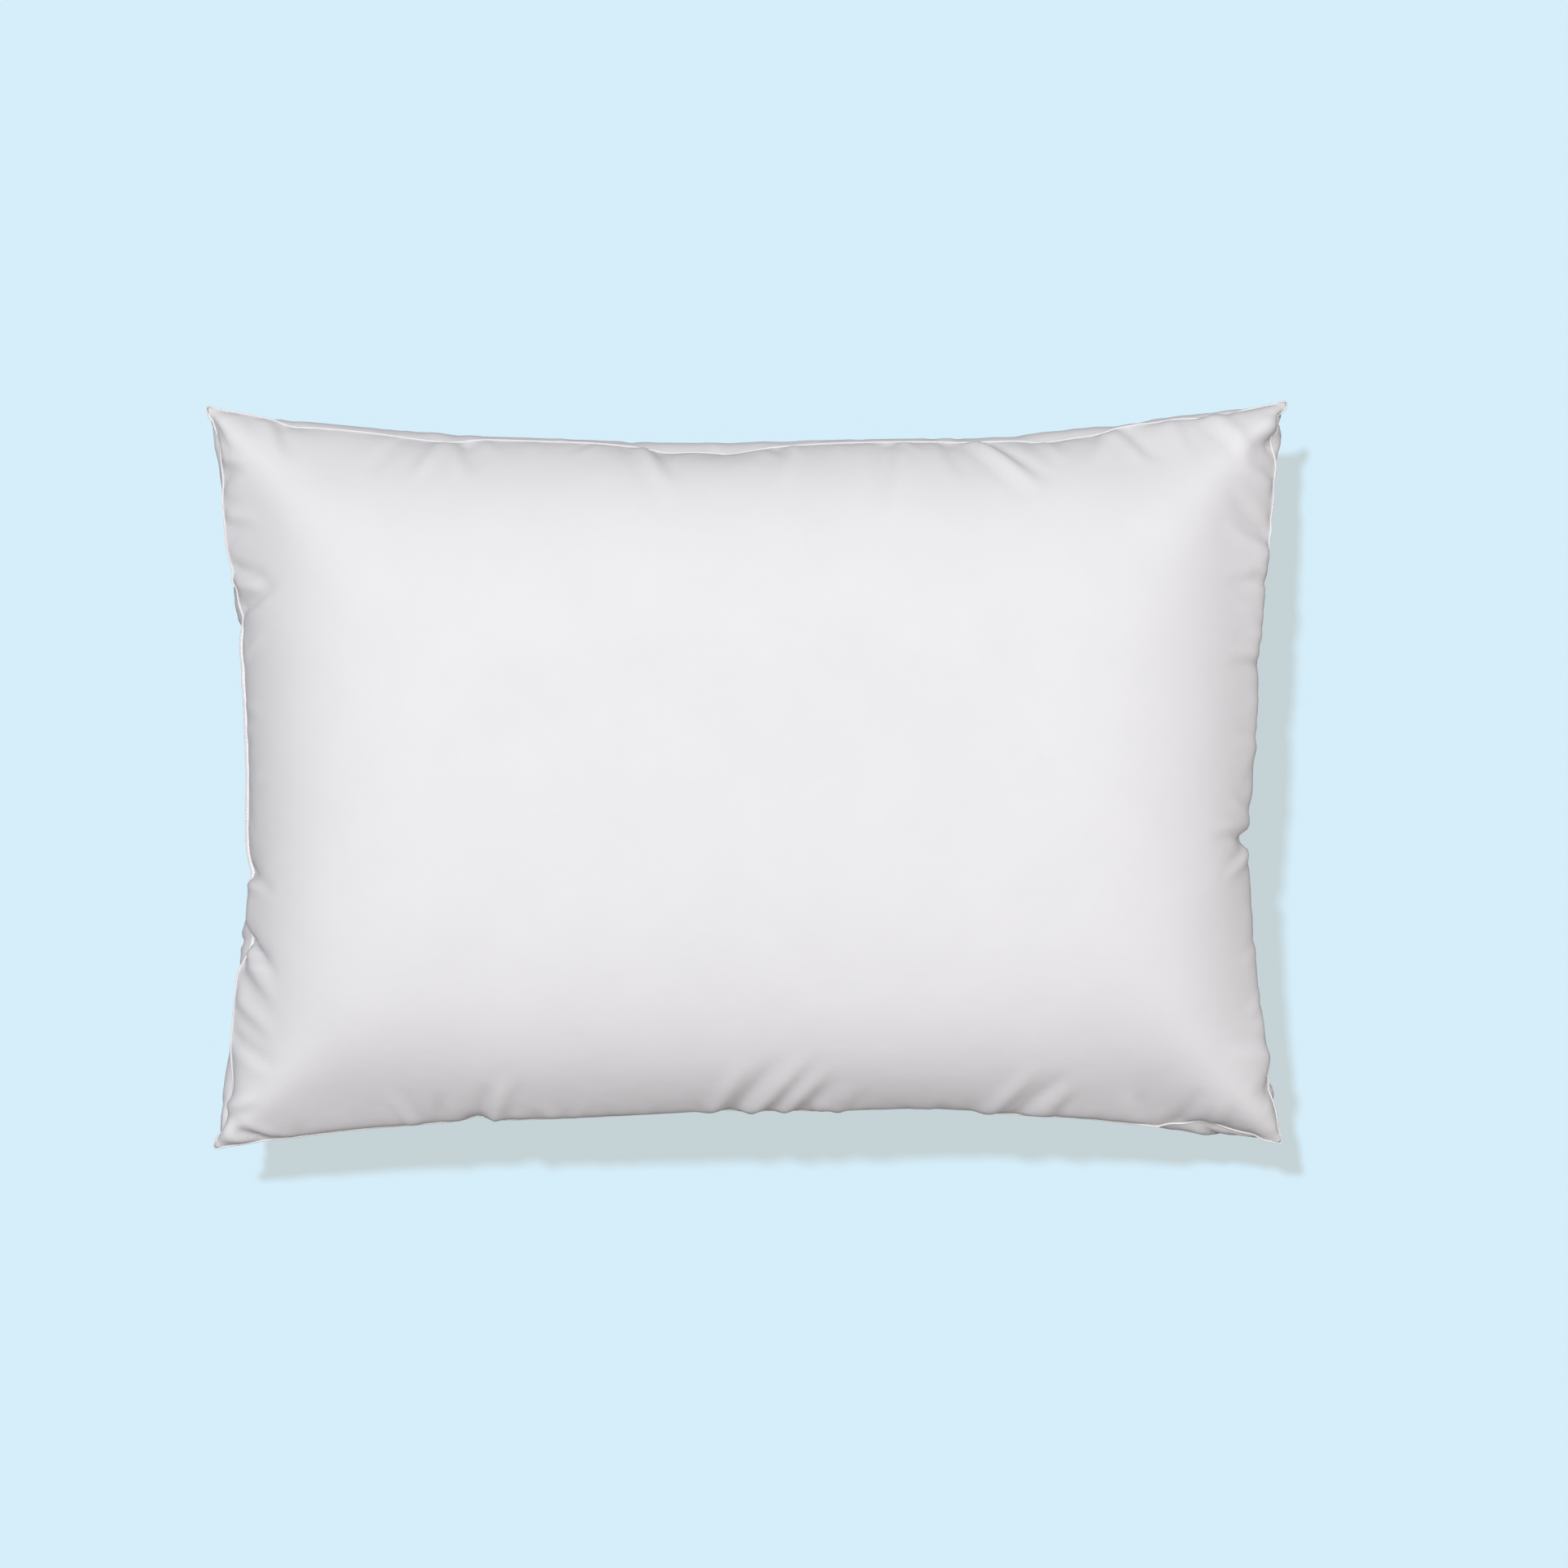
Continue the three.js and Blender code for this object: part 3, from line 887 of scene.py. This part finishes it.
def make_panel(name, node, cloth, outward, panel, material):
    """One side of the casing: the outer face, its allowance turned in at the seam, and the inner face."""
    points = cloth[:, panel].reshape(3, -1).T.astype(float)
    inner = points - PLY * outward[:, panel].reshape(3, -1).T
    rows, columns = cloth.shape[2:]
    count = rows * columns
    edge = border(rows, columns)
    lip = points[edge].copy()
    lip[:, :2] += ALLOWANCE * towards_middle(lip)
    inner_lip = lip.copy()
    inner_lip[:, 2] += PLY if panel == 0 else -PLY
    every = np.concatenate([points, inner, lip, inner_lip])
    outer_lip_at = 2 * count + np.arange(len(edge))
    inner_lip_at = outer_lip_at + len(edge)
    faces = np.concatenate([
        grid_faces(rows, columns, flip=panel == 1),
        grid_faces(rows, columns, first=count, flip=panel == 0),
        band(edge, outer_lip_at, flip=panel == 0),
        band(outer_lip_at, inner_lip_at, flip=panel == 0),
        band(inner_lip_at, edge + count, flip=panel == 0),
    ])
    flat = flat_grid(rows - 1, columns - 1)
    flat = np.concatenate([flat, flat, flat[edge], flat[edge]])
    sharp = np.zeros(len(every), bool)
    sharp[edge] = True
    piece = add_mesh(name, every, faces, material, flat, sharp)
    stand_for(piece, node)
    return piece


def make_filling(cloth, outward, material):
    """The down: the casing's inside, a little smaller, with a groove that clears the allowance."""
    clear = FILLING_CLEAR
    inside = (cloth - FILLING_DEPTH * outward)[:, :, clear:-clear, clear:-clear].astype(float)
    rows, columns = inside.shape[2:]
    count = rows * columns
    points = inside.transpose(1, 2, 3, 0).reshape(-1, 3)
    edge = border(rows, columns)
    groove = (points[edge] + points[edge + count]) / 2
    groove[:, :2] += FILLING_GROOVE * towards_middle(groove)
    groove_at = 2 * count + np.arange(len(edge))
    faces = np.concatenate([
        grid_faces(rows, columns),
        grid_faces(rows, columns, first=count, flip=True),
        band(edge, groove_at, flip=True),
        band(groove_at, edge + count, flip=True),
    ])
    piece = add_mesh("filling", np.concatenate([points, groove]), faces, material)
    stand_for(piece, "down_fill")
    return piece


def seam_loop(cloth, spacing):
    """The seam as a closed, evenly spaced path, with its outward directions and the distance along it."""
    rows, columns = cloth.shape[2:]
    loop = cloth[:, 0].reshape(3, -1).T[border(rows, columns)].astype(float)
    loop = np.concatenate([loop, loop[:1]])
    arc = running(np.linalg.norm(np.diff(loop, axis=0), axis=1))
    count = round(arc[-1] / spacing)
    at = np.linspace(0, arc[-1], count, endpoint=False)
    path = np.stack([np.interp(at, arc, loop[:, i]) for i in range(3)], 1)
    path = rounded(path, SEAM_ROUNDING / spacing)
    along = np.roll(path, -1, 0) - np.roll(path, 1, 0)
    out = np.stack([along[:, 1], -along[:, 0], np.zeros(count)], 1)
    out /= np.linalg.norm(out, axis=1, keepdims=True)
    return path, out, at


def rounded(path, spread):
    """A closed path smoothed by a bell curve this many points wide."""
    reach = int(4 * spread) + 1
    offsets = np.arange(-reach, reach + 1)
    weights = np.exp(-0.5 * (offsets / spread) ** 2)
    weights /= weights.sum()
    return sum(w * np.roll(path, -k, 0) for w, k in zip(weights, offsets))


def closing_share(path):
    """1 along the sewn-up opening on the left side, 0 elsewhere, with a short fade."""
    back, front = CLOSING
    from_back = np.clip((back - path[:, 1]) / CLOSING_FADE, 0, 1)
    from_front = np.clip((path[:, 1] - front) / CLOSING_FADE, 0, 1)
    return np.where(path[:, 0] < 0, from_back * from_front, 0)


def ovals(sides, wide, deep):
    """One section for each point of a path: an oval with these half sizes."""
    angles = np.linspace(0, 2 * np.pi, sides, endpoint=False)
    circle = np.stack([np.cos(angles), -np.sin(angles)], 1)
    return circle[None] * np.stack([wide, deep], 1)[:, None]


def wound(at, sides, girth):
    """The flat coordinates of a tube's points: along it, and round it."""
    round_it = np.tile(np.arange(sides) / sides, len(at)) * girth
    return np.stack([np.repeat(at, sides), round_it, np.zeros(sides * len(at))], 1)


def tape_middle(path, out, flat):
    """The middle line of tape and cord, a little further out where the tape is flat."""
    return path + TAPE_OUT * out + (flat * RIBBON_OUT)[:, None] * out


def make_tape(loop, material):
    """The piping's tape: round over its cord, drawn in by every stitch, and flat along the closing."""
    path, out, at = loop
    flat = closing_share(path)
    drawn = 1 - STITCH_PINCH * np.abs(np.cos(np.pi * at / STITCH)) ** 6
    wide = (TAPE_RADIUS * (1 - flat) + RIBBON_HALF_WIDTH * flat) * (drawn * (1 - flat) + flat)
    deep = (TAPE_RADIUS * (1 - flat) + RIBBON_HALF_DEPTH * flat) * drawn
    middle = tape_middle(path, out, flat)
    points, faces = swept(middle, out, ovals(TAPE_SIDES, wide, deep))
    hollow = ovals(CORD_SIDES, wide - TAPE_PLY, (deep - TAPE_PLY).clip(0.0001))
    inner_points, inner_faces = swept(middle, out, hollow)
    faces = np.concatenate([faces, inner_faces[:, ::-1] + len(points)])
    cloth = np.concatenate([wound(at, TAPE_SIDES, TAPE_GIRTH), wound(at, CORD_SIDES, TAPE_GIRTH)])
    piece = add_mesh("edge_tape", np.concatenate([points, inner_points]), faces, material, cloth)
    stand_for(piece, "piping_tape")
    return piece


def make_cord(loop, material):
    """The cord inside the tape, thinner where the tape is pressed flat."""
    path, out, at = loop
    flat = closing_share(path)
    radius = CORD_RADIUS * (1 - CORD_THINNING * flat)
    points, faces = swept(tape_middle(path, out, flat), out, ovals(CORD_SIDES, radius, radius))
    piece = add_mesh("edge_cord", points, faces, material, wound(at, CORD_SIDES, CORD_GIRTH))
    stand_for(piece, "piping_cord")
    return piece


def make_thread(name, node, row, side, material, closed):
    """One thread of a lockstitch row: it lies on its side of the cloth and dips in at every stitch."""
    path, out, at = row
    height = side * THREAD_RISE * np.abs(np.sin(np.pi * at / STITCH)) ** 0.5
    radius = np.full(len(path), THREAD_RADIUS)
    points, faces = swept(path + height[:, None] * UP, out, ovals(CORD_SIDES, radius, radius))
    caps = []
    if not closed:
        faces = faces[:-CORD_SIDES]
        first_cap = np.arange(CORD_SIDES)
        caps = [first_cap, (first_cap + len(points) - CORD_SIDES)[::-1]]
    piece = add_mesh(name, points, faces, material, wound(at, CORD_SIDES, THREAD_GIRTH), caps=caps)
    stand_for(piece, node)
    return piece


def inset(loop, distance):
    """The seam loop moved in, without the points that would cross the neighbouring side at a tip."""
    path, out, at = loop
    inside = path - distance * out
    flat_path = path[::4, :2]
    near = np.array([np.abs(flat_path - point).max(1).min() for point in inside[:, :2]])
    keep = near > CROSSING_SHARE * distance
    return inside[keep], out[keep], at[keep]


def closing_row(loop):
    """The part of the seam loop along the closing, moved out onto the ribbon."""
    path, out, at = loop
    on_closing = closing_share(path) > 0
    first = np.argmax(on_closing)
    part = slice(first, first + on_closing.sum())
    return (path + CLOSING_ROW_OUT * out)[part], out[part], at[part]


def make_stitching(loop, material):
    """The main row, inside round the whole pillow, and the row that shuts the closing: two threads each."""
    main = inset(loop, SEAM_ROW_IN)
    closing = closing_row(loop)
    return [
        make_thread("seam_upper_stitches", "seam_needle_thread", main, 1, material, closed=True),
        make_thread("seam_lower_stitches", "seam_bobbin_thread", main, -1, material, closed=True),
        make_thread("closing_upper_stitches", "closing_needle_thread", closing, 1, material, closed=False),
        make_thread("closing_lower_stitches", "closing_bobbin_thread", closing, -1, material, closed=False),
    ]


def make_label(cloth, outward, material):
    """The blank care label: sewn into the right-hand seam, lying under the pillow with a slight curl."""
    rows, columns = cloth.shape[2:]
    middle = np.interp(LABEL_Y, cloth[1, 1, -1, :], np.arange(columns))
    across, down_it = LABEL_POINTS
    width, drop = LABEL_SIZE
    s = np.linspace(-0.5, 0.5, across) * width
    t = np.linspace(0, 1, down_it) * drop
    s, t = np.meshgrid(s, t, indexing="ij")
    u = (rows - 1) - t / (CLOTH_LENGTH / (rows - 1))
    v = middle + s / (CLOTH_WIDTH / (columns - 1))
    surface = sample(cloth[:, 1], u, v)
    facing = sample(outward[:, 1], u, v)
    wave = LABEL_WAVE * (t / drop) * np.sin(LABEL_RIPPLE[0] * s + LABEL_RIPPLE[1] * t)
    curl = LABEL_LIFT + LABEL_CURL * (t / drop) ** 2 + wave
    outer = (surface + (curl + LABEL_PLY) * facing).transpose(1, 2, 0).reshape(-1, 3)
    inner = (surface + curl * facing).transpose(1, 2, 0).reshape(-1, 3)
    count = across * down_it
    edge = border(across, down_it)
    faces = np.concatenate([
        grid_faces(across, down_it),
        grid_faces(across, down_it, first=count, flip=True),
        band(edge, edge + count, flip=True),
    ])
    flat = np.stack([s, t, np.zeros_like(s)], -1).reshape(-1, 3)
    piece = add_mesh("label", np.concatenate([outer, inner]), faces, material, np.concatenate([flat, flat]))
    stand_for(piece, "care_label")
    return piece


def sample(grid, u, v):
    """Values of a grid between its points."""
    i = np.clip(np.floor(u).astype(int), 0, grid.shape[1] - 2)
    j = np.clip(np.floor(v).astype(int), 0, grid.shape[2] - 2)
    a, b = u - i, v - j
    front = grid[:, i, j] * (1 - a) + grid[:, i + 1, j] * a
    back = grid[:, i, j + 1] * (1 - a) + grid[:, i + 1, j + 1] * a
    return front * (1 - b) + back * b


# ---- picture

def make_camera():
    """Straight above, turned a third of a degree as in the photograph."""
    data = bpy.data.cameras.new("camera")
    data.lens = CAMERA_LENS
    data.sensor_width = 36
    data.clip_end = 20
    camera = bpy.data.objects.new("camera", data)
    camera.location = CAMERA_AT
    camera.rotation_euler = (0, 0, math.radians(CAMERA_ROLL))
    bpy.context.scene.collection.objects.link(camera)
    bpy.context.scene.camera = camera


def add_sun(name, energy, colour, towards, size, lit):
    """A sun of some size in degrees that shines one way on the pieces of one collection."""
    data = bpy.data.lights.new(name, "SUN")
    data.energy = energy
    data.color = colour
    data.angle = math.radians(size)
    light = bpy.data.objects.new(name, data)
    light.location = -2 * Vector(towards)
    light.rotation_euler = Vector(towards).to_track_quat("-Z", "Y").to_euler()
    light.light_linking.receiver_collection = lit
    bpy.context.scene.collection.objects.link(light)


def make_floor():
    """A pale blue floor. It glows, so that only the key light's shadow shows on it, and softly."""
    nodes = Nodes("floor")
    nodes.shade(Base_Color=(0.2, 0.2, 0.2, 1), Roughness=1.0, Specular_IOR_Level=0.0)
    nodes.shade(Emission_Color=(0.53, 0.622, 0.642, 1), Emission_Strength=1.0)
    points = [(x * FLOOR_HALF, y * FLOOR_HALF, 0) for x, y in ((-1, -1), (1, -1), (1, 1), (-1, 1))]
    floor = add_mesh("floor", points, [(0, 1, 2, 3)], nodes.material)
    floor.visible_diffuse = False
    floor.visible_glossy = False
    floor.visible_shadow = False
    return floor


def collection_of(name, pieces):
    """A collection used only to say which pieces a light reaches."""
    group = bpy.data.collections.new(name)
    for piece in pieces:
        group.objects.link(piece)
    return group


def light_scene(pieces, floor):
    """Soft light from overhead, a key light from the upper left, and its shadow on the floor."""
    scene = bpy.context.scene
    scene.view_settings.view_transform = "Standard"
    world = bpy.data.worlds.new("studio")
    world.use_nodes = True
    background = world.node_tree.nodes["Background"]
    background.inputs["Color"].default_value = (0.97, 0.955, 1.0, 1)
    background.inputs["Strength"].default_value = 0.15
    scene.world = world
    on_pillow = collection_of("lit_pillow", pieces)
    on_floor = collection_of("lit_floor", [floor])
    add_sun("overhead", 2.33, (1.0, 0.958, 0.928), (-0.035, -0.135, -0.99), 30, on_pillow)
    add_sun("key", 0.60, (0.71, 0.88, 1.0), KEY_DIRECTION, 8, on_pillow)
    add_sun("key_on_floor", 5.2, (0.40, 0.72, 1.0), KEY_DIRECTION, 5, on_floor)


def build():
    """The whole scene: camera, casing, everything sewn to it or inside it, floor and lights."""
    make_camera()
    cloth = shape_casing(fill_casing())
    outward = normals(cloth)
    casing = cotton("casing_cotton", (0.875, 0.868, 0.885), (0.85, 0.843, 0.862), 0.00028, 0.85, 0.04)
    tape = cotton("tape_cotton", (0.86, 0.85, 0.86), (0.80, 0.79, 0.80), 0.00035, 0.8, 0.15)
    # The second colour of thread and cord is painted shade for the grooves between their strands
    thread = twisted("thread_cotton", (0.92, 0.92, 0.92), (0.75, 0.75, 0.76), 0.0004)
    cord = twisted("cord_cotton", (0.85, 0.84, 0.82), (0.62, 0.61, 0.59), 0.0012)
    loop = seam_loop(cloth, STITCH / STITCH_POINTS)
    pieces = [
        make_panel("casing_top", "top_panel", cloth, outward, 0, casing),
        make_panel("casing_bottom", "bottom_panel", cloth, outward, 1, casing),
        make_filling(cloth, outward, down("down")),
        make_label(cloth, outward, satin("label_satin")),
        make_tape(loop, tape),
        make_cord(loop, cord),
        *make_stitching(loop, thread),
    ]
    light_scene(pieces, make_floor())


build()
